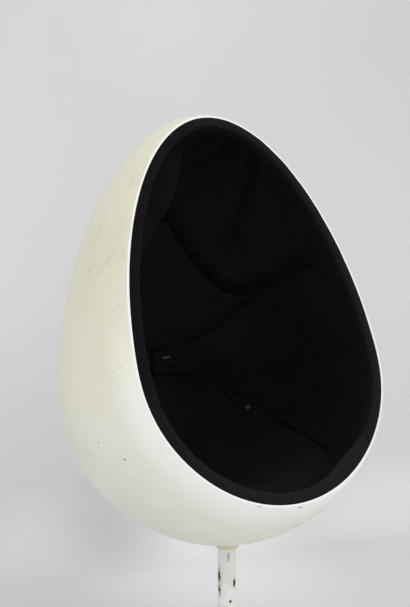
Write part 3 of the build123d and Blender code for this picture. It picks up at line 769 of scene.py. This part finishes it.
pad_folds = seat_folds + tear_folds + [
    ([(0.094, 0.396, 0.755), (0.110, 0.390, 0.739), (0.121, 0.386, 0.723)], 0.007, 0.004),
    ([(0.205, 0.335, 0.709), (0.236, 0.300, 0.691), (0.262, 0.262, 0.676)], 0.009, 0.003),
]
pad_gathers = [(SEAT_SEAM, 0.036, 0.0036, 0.037), (BACK_SEAM, 0.022, 0.001, 0.040)]
SIDES = (("right", list), ("left", mirrored))
for side, flip in SIDES:
    upholster(f"side_pad_{side}", ("seat_cushion", "back_cushion", f"upper_side_panel_{side}"),
              crown=0.010, crown_width=0.06, rounds=9, creases=flip(pad_folds),
              gathers=flip(pad_gathers), lumps=0.0022, fill=0.65, seed=5,
              reshape=thinned_to_front(0.38, 0.020, 0.162), snug=(0.1, 0.016),
              sewn_to=("back_cushion",))

back_gathers = [(BACK_SEAM, 0.022, 0.0014, 0.040)]
upholster("back_cushion", ("side_pad_left", "side_pad_right", "upper_back_panel",
                           "upper_side_panel_left", "upper_side_panel_right"),
          crown=0.008, crown_width=0.05, rounds=12, gathers=back_gathers + mirrored(back_gathers),
          lumps=0.0018, fill=0.7, seed=8, reshape=settle_to_pads, snug=(0.1, 0.016),
          sewn_to=("side_pad_left", "side_pad_right"))

top_folds = [
    ([(0.020, 0.285, 1.342), (0.037, 0.274, 1.345), (0.075, 0.254, 1.350), (0.101, 0.216, 1.366),
      (0.108, 0.161, 1.388)], 0.011, 0.014),
    ([(0.000, 0.205, 1.404), (0.012, 0.214, 1.400), (0.035, 0.232, 1.384), (0.046, 0.242, 1.374)],
     0.010, 0.012),
    ([(-0.010, 0.150, 1.424), (0.010, 0.151, 1.423), (0.045, 0.155, 1.417), (0.072, 0.140, 1.412)],
     0.009, 0.009),
    ([(0.035, 0.254, 1.366), (0.067, 0.216, 1.384), (0.077, 0.145, 1.407)], 0.011, -0.007),
    ([(0.000, 0.345, 1.221), (0.045, 0.335, 1.241), (0.080, 0.322, 1.256)], 0.012, 0.002),
]
side_folds = [
    ([(0.122, 0.063, 1.377), (0.168, 0.140, 1.342), (0.185, 0.190, 1.303), (0.191, 0.224, 1.270),
      (0.196, 0.257, 1.224), (0.199, 0.281, 1.184), (0.196, 0.303, 1.142), (0.192, 0.324, 1.100),
      (0.180, 0.344, 1.054)], 0.017, 0.0165, 0.35),
    ([(0.185, 0.107, 1.327), (0.229, 0.177, 1.247), (0.247, 0.242, 1.146), (0.247, 0.292, 1.040)],
     0.024, -0.008),
    ([(0.226, 0.098, 1.273), (0.270, 0.136, 1.190), (0.301, 0.157, 1.103)], 0.024, 0.007),
]
crevice = [(CREVICE, 0.022, 0.018, 0.0)]
LINING = {"crown": 0.004, "crown_width": 0.07, "rounds": 5, "fill": 0.4, "back": (0.004, 0.012),
          "snug": (0.0, 0.016), "material": UPPER_CLOTH}
upholster("upper_back_panel", ("upper_side_panel_left", "upper_side_panel_right"),
          creases=(top_folds + side_folds + crevice
                   + mirrored(top_folds[1:] + side_folds + crevice)),
          lumps=0.0030, seed=11, **LINING)
for side, flip in SIDES:
    upholster(f"upper_side_panel_{side}", ("upper_back_panel",), creases=flip(side_folds + crevice),
              lumps=0.0026, seed=13, **LINING)


def wing_flap():
    """Left pad beside the head: it stands off the rim roll and ends in a thin straight edge."""
    edge = np.array([(-0.066, 0.668), (-0.078, 0.609), (-0.108, 0.519), (-0.152, 0.440),
                     (-0.196, 0.387), (-0.262, 0.300), (-0.312, 0.228)])    # across, up the slope
    edge = curve_through(np.c_[edge, np.zeros(len(edge))], 0.008)[:, :2]
    root_inset = 0.0325
    round_off = 0.004
    share = np.linspace(0, 1, 14)
    front = 0.2085 - 0.024 * share ** 1.3      # reach of each face, from the root to the edge
    rear = 0.1675 + 0.006 * share
    angle = np.arctan2(edge[:, 1] - SECTION_LIFT, edge[:, 0])
    loops = []
    for reaches, shares in ((front, share), (rear[::-1], share[::-1])):
        for reach, s in zip(reaches, shares):
            root = ring_points(angle, np.full(len(angle), root_inset), np.full(len(angle), reach))
            tip = EGG_CENTRE + edge[:, :1] * ACROSS + edge[:, 1:] * UPSLOPE + reach * OUTWARD
            loops.append(root + (tip - root) * (s - (round_off if s == 1 else 0.0)))
    points = np.stack(loops, axis=1)
    count, per = points.shape[:2]
    points = points.reshape(-1, 3)
    waves = 0.0018 * ripple(points, 0.09, 31) + 0.0012 * ripple(points, 0.03, 32)
    points = points + OUTWARD * waves[:, None]
    piece = add_piece("wing_pad_left_cover", loop_mesh("wing_flap", points, count, per), SHADED_WING_CLOTH)
    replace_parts(piece, "wing_pad_left")


def surface_insets(tree, angle, reach):
    """Inset of the surface that is met from inside the pod, at each angle round the opening."""
    from_inset, ray_length, averaged = 0.16, 0.17, 7
    least, usual, most = 0.030, 0.045, 0.080
    count = len(angle)
    start = ring_points(angle, np.full(count, from_inset), np.full(count, reach))
    end = ring_points(angle, np.zeros(count), np.full(count, reach))
    found = np.full(count, usual)
    for i in range(count):
        hit = tree.ray_cast(Vector(start[i]), Vector(end[i] - start[i]).normalized(), ray_length)[0]
        if hit is not None:
            found[i] = inset_of(np.array([hit]))[0]
    padded = np.pad(found, averaged // 2, mode="edge")
    return np.clip(np.convolve(padded, np.full(averaged, 1 / averaged), mode="valid"), least, most)


# The lap's outer face, by reach: its rise above the covers behind the rim roll, how far it has come
# to LAP_SHOULDER on its way up, and its inset in front.
LAP_BEHIND = ((0.088, -0.0035), (0.104, -0.0012), (0.119, 0.0002), (0.134, 0.0006), (0.146, 0.0008))
LAP_ONTO_ROLL = ((0.166, 0.25), (0.184, 0.62), (0.202, 0.92))
LAP_IN_FRONT = ((0.216, 0.0360), (0.2265, 0.0325), (0.2335, 0.0265), (0.2362, 0.0190),
                (0.2358, 0.0115), (0.2325, 0.0062))
LAP_SHOULDER = 0.0375
LAP_CLOTH = 0.0036           # thickness, as an inset
LAP_SETBACK = 0.0032         # and as a reach
END_SINKING = 0.0032         # how far the outer face sinks at the lap's ends, and draws back
END_SETBACK = 0.0030
OUTER_CLEARANCE = 0.0006     # from BAND_INSET, at the least
INNER_CLEARANCE = 0.0003


def lap(name, low, high, tree, material, low_fade, high_fade):
    """Cloth drawn from the pad or lining over the rim roll, up to the shell's lip.

    It runs from low to high degrees round the opening, and thins out over low_fade and high_fade.
    """
    around = 200
    degrees = np.linspace(low, high, around)
    angle = np.radians(degrees)
    path = [(reach, surface_insets(tree, angle, reach) + rise) for reach, rise in LAP_BEHIND]
    behind = path[-1][1]
    path += [(reach, behind + share * (LAP_SHOULDER - behind)) for reach, share in LAP_ONTO_ROLL]
    path += [(reach, np.full(around, inset)) for reach, inset in LAP_IN_FRONT]
    faces = [(np.full(around, reach), inset) for reach, inset in path]
    ends = np.sqrt(soft_steps(degrees - low, 0.0, low_fade)
                   * soft_steps(high - degrees, 0.0, high_fade))
    loops = []
    for reach, inset in faces:
        lowered = np.maximum(inset - END_SINKING * (1 - ends), BAND_INSET + OUTER_CLEARANCE)
        loops.append(ring_points(angle, lowered, reach - END_SETBACK * (1 - ends)))
    for reach, inset in faces[::-1]:
        under = np.maximum(inset - LAP_CLOTH, BAND_INSET + INNER_CLEARANCE)
        loops.append(ring_points(angle, under, reach - LAP_SETBACK))
    points = np.stack(loops, axis=1)
    per = points.shape[1]
    points = points.reshape(-1, 3)
    waves = 0.0007 * ripple(points, 0.10, 41) + 0.0004 * ripple(points, 0.03, 42)
    points = points + away_from_middle(points, around, per) * waves[:, None]
    piece = add_piece(name, loop_mesh(name, points, around, per), material)
    return piece


wing_flap()
inside = tree_of([covers[name].data for name in ("side_pad_right", "upper_side_panel_right",
                                                 "upper_back_panel", "seat_cushion")])
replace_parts(lap("wing_pad_right_cover", -59.0, 98.0, inside, CLOTH, 5.0, 22.0), "wing_pad_right")


def rim_roll():
    """The padded edge: a rounded roll of cloth round the opening, with small gathers across it."""
    around = 620
    corner_steps = 7
    bunch_angle, bunch_width, bunch_size = -69, 10, 0.45      # degrees round the opening
    thick, deep = BAND_THICKNESS, BAND_FRONT - BAND_REAR
    section = []
    # Each corner is its middle, inwards and outwards, its radius and its first angle.
    for centre_in, centre_out, radius, start in (
            (thick - 0.0125, deep - 0.0125, 0.0125, 0), (0.0125, deep - 0.0125, 0.0125, 90),
            (0.004, 0.004, 0.004, 180), (thick - 0.006, 0.006, 0.006, 270)):
        for step in range(corner_steps):
            turn = math.radians(start + 90 * step / (corner_steps - 1))
            section.append((centre_in + radius * math.cos(turn),
                            centre_out + radius * math.sin(turn)))
    section = np.array(section)
    per = len(section)
    angle = np.repeat(np.linspace(0, 2 * math.pi, around, endpoint=False), per)
    inward = np.tile(section[:, 0], around)
    outward = np.tile(section[:, 1], around)
    degrees = np.degrees((angle + math.pi) % (2 * math.pi)) - 180
    bunched = np.exp(-((degrees - bunch_angle) / bunch_width) ** 2)
    inward = inward * (1 + bunch_size * bunched * soft_steps(inward, 0.010, 0.024))
    points = ring_points(angle, BAND_INSET + inward, BAND_REAR + outward)
    gather = (0.55 * np.sin(61 * angle + 2.0 * np.sin(5 * angle)) * np.sin(7 * angle + 1.0)
              + 0.5 * np.sin(113 * angle + 3.0 * np.sin(3 * angle + 1)) * np.sin(4 * angle + 2.0))
    loose = soft_steps(inward, 0.004, 0.012)
    puff = (0.0009 * gather + 0.0011 * ripple(points, 0.16, 21)) * loose
    points += away_from_middle(points, around, per) * puff[:, None]
    piece = add_piece("rim_band_cover", loop_mesh("rim_roll", points, around, per, True), BAND_CLOTH)
    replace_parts(piece, "rim_band")


rim_roll()


def torn_patch(name, piece, place, along, length, width, seed):
    """Pale wadding that shows through a small tear in a cover."""
    spot, normal = tree_of([piece.data]).find_nearest(Vector(place))[:2]
    x = (Vector(along) - Vector(along).dot(normal) * normal).normalized()
    y = normal.cross(x)
    random = np.random.default_rng(seed)
    rings, spokes = 5, 28
    rise = 0.0022
    ragged = 1 + 0.24 * random.normal(size=spokes)
    vertices, faces = [], []
    for side in (1, -1):
        for ring in range(rings + 1):
            share = ring / rings
            for spoke in range(spokes):
                turn = 2 * math.pi * spoke / spokes
                edge = share * (1 + (ragged[spoke] - 1) * share)
                out = (x * (length / 2 * edge * math.cos(turn))
                       + y * (width / 2 * edge * math.sin(turn)))
                fluff = 0.0004 * math.sin(5 * turn + 9 * share) * share * (1 - share)
                height = rise * (1 - share ** 2) + fluff
                vertices.append(spot + out + normal * (height if side > 0 else -0.6 * height))
    for layer in range(2):
        base = layer * (rings + 1) * spokes
        for ring in range(rings):
            for spoke in range(spokes):
                a = base + ring * spokes + spoke
                b = base + ring * spokes + (spoke + 1) % spokes
                quad = (a, a + spokes, b + spokes, b)
                faces.append(quad if layer == 0 else quad[::-1])
    mesh = bpy.data.meshes.new(name)
    mesh.from_pydata([tuple(v) for v in vertices], [], faces)
    mesh.validate()
    add_piece(name, mesh, TORN, subdivide=0)


torn_patch("torn_wadding_back", covers["side_pad_right"], (0.046, 0.400, 0.777), (1, 0.1, 0.15),
           0.030, 0.007, 1)
torn_patch("torn_wadding_seat", covers["seat_cushion"], (0.2475, 0.260, 0.627), (0.7, -0.6, -0.5),
           0.014, 0.011, 2)

# ------------------------ camera, floor and light
# The camera is the one that was fitted to the photograph.
AZIMUTH = math.radians(-32.28)
PITCH = math.radians(5.45)
camera_data = bpy.data.cameras.new("camera")
camera_data.lens = 53.38
camera = placed("camera", camera_data)
backward = Vector((math.sin(AZIMUTH) * math.cos(PITCH), -math.cos(AZIMUTH) * math.cos(PITCH),
                   math.sin(PITCH)))
camera.location = (-1.2882, -1.9299, 1.1964)
camera.rotation_euler = backward.to_track_quat("Z", "Y").to_euler()
scene.camera = camera


def grey(level):
    return linear(level, level, level)


def stage_material(name, level, light_and_shadow_spots=(), one_sided=False):
    """Matt paint of one grey level, drifting to other levels round given points: painted light and
    painted shadow.

    One-sided paint can't be seen from behind.
    """
    s = Surface(name, Specular_IOR_Level=0.1)
    mottled = s.step(s.noise(1.4, 4.0), 0.3, 0.7)
    colour = s.mix(mottled, grey(level), linear(level - 3, level - 3, level - 4))
    # Painted light and shade round each given point.
    for point, reach, painted_level in light_and_shadow_spots:
        near = s.step(s.vector("DISTANCE", s.where, point), 0.0, reach, 1.0, 0.0)
        colour = s.mix(near, colour, grey(painted_level))
    s.colour(colour)
    s.rough(s.step(s.noise(3.0, 2.0), 0.3, 0.7, 0.8, 0.9))
    if one_sided:
        clear = s.node("ShaderNodeBsdfTransparent")
        blend = s.node("ShaderNodeMixShader")
        s.put(blend.inputs[0], s.node("ShaderNodeNewGeometry").outputs["Backfacing"])
        s.put(blend.inputs[1], s.shader.outputs[0])
        s.put(blend.inputs[2], clear.outputs[0])
        s.put(s.tree.nodes["Material Output"].inputs["Surface"], blend.outputs[0])
    return s.material


def stage_sheet(name, rows, material):
    """A strip of quads through rows of two points."""
    mesh = bpy.data.meshes.new(name)
    mesh.from_pydata([point for row in rows for point in row], [],
                     [(2 * i, 2 * i + 1, 2 * i + 3, 2 * i + 2) for i in range(len(rows) - 1)])
    mesh.materials.append(material)
    mesh.polygons.foreach_set("use_smooth", [True] * len(mesh.polygons))
    sheet = placed(name, mesh)


PAINT_LEVEL = 214
FLOOR_REACH = 40
FLOOR_HEIGHT = -0.0005       # just under the base pad
stage_sheet("floor", [((x, -FLOOR_REACH, FLOOR_HEIGHT), (x, FLOOR_REACH, FLOOR_HEIGHT))
                      for x in (-FLOOR_REACH, FLOOR_REACH)],
            stage_material("floor_paint", PAINT_LEVEL))

WALL_TURN = math.radians(-14.0)
WALL_AWAY = 0.95
WALL_HALF_LENGTH = 7
WALL_HEIGHT = 5.0
FLOOR_STRIP = 2.0            # of the wall's sheet, in front of the cove
COVE = 0.25
along_wall = np.array((math.cos(WALL_TURN), math.sin(WALL_TURN), 0.0))
from_wall = np.array((math.sin(WALL_TURN), -math.cos(WALL_TURN), 0.0))
profile = [(COVE * (1 - math.sin(turn)), COVE * (1 - math.cos(turn)))
           for turn in np.linspace(0, math.pi / 2, 13)]
profile = [(FLOOR_STRIP, 0.0)] + profile + [(0.0, WALL_HEIGHT)]
rows = []
for out, up in profile:
    base = -from_wall * WALL_AWAY + from_wall * out + np.array((0.0, 0.0, up))
    rows.append([tuple(base + along_wall * end) for end in (-WALL_HALF_LENGTH, WALL_HALF_LENGTH)])
# Painted light and shade on the wall and floor: lighter wall to the left, lighter floor between the
# chair and the wall, darker wall up to the right, and a painted shadow on the cove behind the post.
wall_light_and_shadow = [((-0.30, 1.05, 0.85), 1.0, 225), ((0.34, 0.89, 0.0), 0.6, 224),
              ((1.30, 0.65, 1.95), 1.1, 202), ((0.28, 0.46, 0.0), 0.60, 238),
              ((0.10, 0.90, 0.08), 0.32, 196)]
stage_sheet("wall", rows, stage_material("wall_paint", PAINT_LEVEL, wall_light_and_shadow, one_sided=True))


def area_light(name, place, aim, size, power):
    data = bpy.data.lights.new(name, "AREA")
    data.shape = "DISK"
    data.size = size
    data.energy = power
    lamp = placed(name, data)
    lamp.location = place
    lamp.rotation_euler = (Vector(aim) - Vector(place)).to_track_quat("-Z", "Y").to_euler()


area_light("key", (1.8, -2.2, 2.8), (0, 0, 0.75), 1.3, 13)
area_light("top", (-0.6, -0.9, 3.2), (0, 0, 0.7), 1.8, 2)

# The world lights the scene with one colour and shows the camera another.
world = bpy.data.worlds.new("studio")
world.use_nodes = True
tree = world.node_tree
fill = tree.nodes["Background"]
fill.inputs["Color"].default_value = (*linear(232, 233, 236), 1.0)
fill.inputs["Strength"].default_value = 1.42
backdrop = tree.nodes.new("ShaderNodeBackground")
backdrop.inputs["Color"].default_value = (*linear(214, 215, 216), 1.0)
seen = tree.nodes.new("ShaderNodeLightPath")
blend = tree.nodes.new("ShaderNodeMixShader")
tree.links.new(seen.outputs["Is Camera Ray"], blend.inputs[0])
tree.links.new(fill.outputs[0], blend.inputs[1])
tree.links.new(backdrop.outputs[0], blend.inputs[2])
tree.links.new(blend.outputs[0], tree.nodes["World Output"].inputs["Surface"])
scene.world = world
scene.view_settings.view_transform = "Standard"
